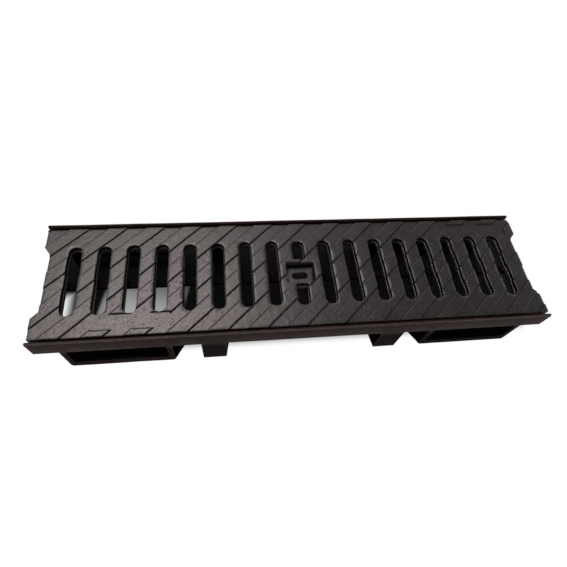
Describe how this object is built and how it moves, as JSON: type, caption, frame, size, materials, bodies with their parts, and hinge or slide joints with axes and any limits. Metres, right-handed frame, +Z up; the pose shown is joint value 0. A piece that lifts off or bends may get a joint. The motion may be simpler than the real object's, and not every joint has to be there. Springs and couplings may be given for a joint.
{
  "type": "slotted channel drain grate with frame",
  "caption": "Long cast-iron channel grate with cross slots, raised diagonal tread and a lock recess, resting in a cast frame with angle rails and open feet.",
  "frame": {"origin": "centre of the footprint, on the surface that the feet stand on", "axes": "+X along the drain, +Y across it and away from the near rail, +Z up"},
  "size_m": [0.5, 0.1292, 0.0573],
  "materials": {
    "frame_iron": "satin black coating",
    "grate_iron": "satin black coating over sand-cast texture"
  },
  "bodies": {
    "root": {"frame": "frame_iron", "grate": "grate_iron"}
  },
  "joints": []
}
